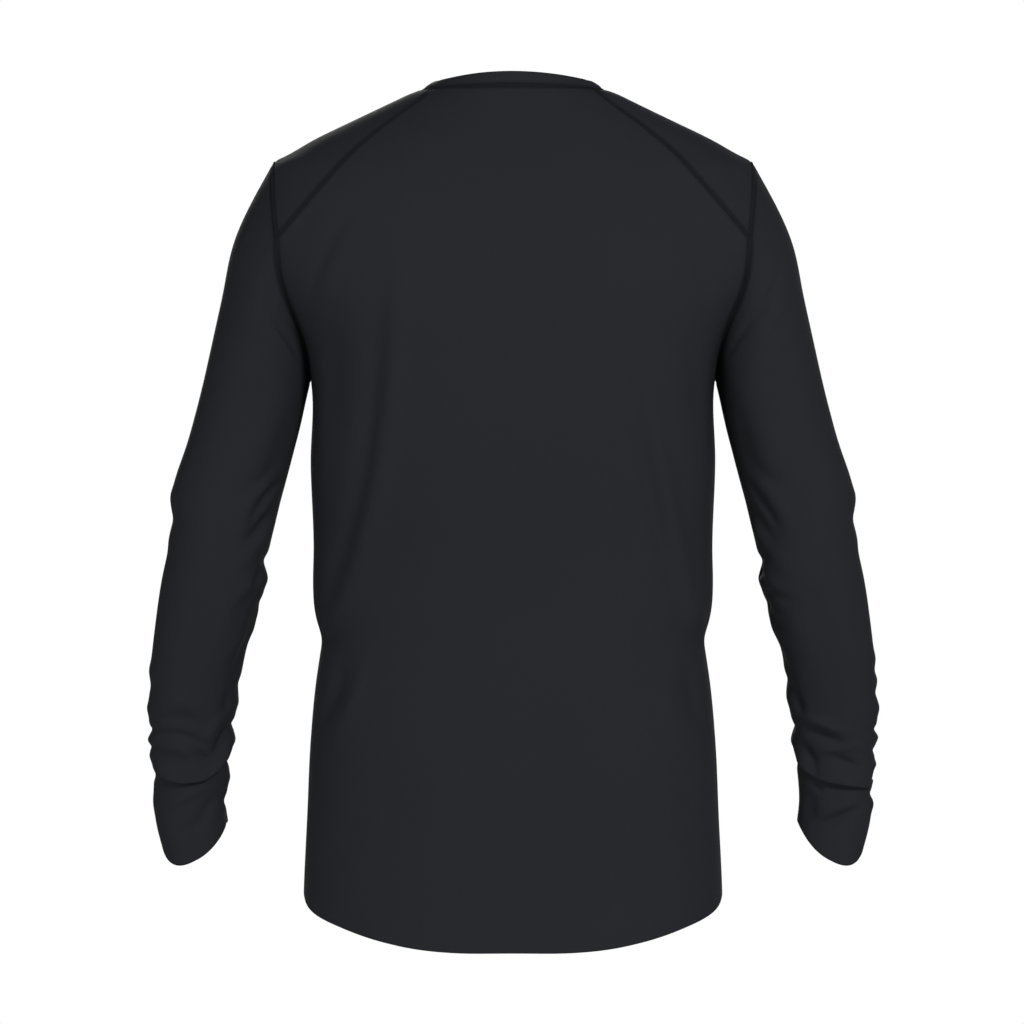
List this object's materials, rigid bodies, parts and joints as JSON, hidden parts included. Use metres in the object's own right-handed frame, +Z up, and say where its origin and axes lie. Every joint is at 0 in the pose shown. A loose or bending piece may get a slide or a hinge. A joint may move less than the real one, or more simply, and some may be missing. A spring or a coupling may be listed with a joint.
{
  "type": "base layer top",
  "caption": "Long-sleeved close-fitting base layer top in worn shape, hollow, with saddle shoulder panels, narrow neckband, bunched sleeves and a dropped curved back hem.",
  "frame": {"origin": "on the centre line, at the height where the shoulders meet the neckband, above the middle of the neck opening, where the garment hangs from the wearer's shoulders", "axes": "+Z up, +X to the wearer's left, +Y out of the back of the garment"},
  "size_m": [0.6194, 0.2325, 0.7488],
  "materials": {
    "jersey": "matte fine knit, charcoal",
    "neckband": "matte fine rib, charcoal"
  },
  "bodies": {
    "root": {"back_panel": "jersey", "front_panel": "jersey", "shoulder_panel_left": "jersey", "shoulder_panel_right": "jersey", "sleeve_left": "jersey", "sleeve_right": "jersey", "neckband": "neckband"}
  },
  "joints": []
}
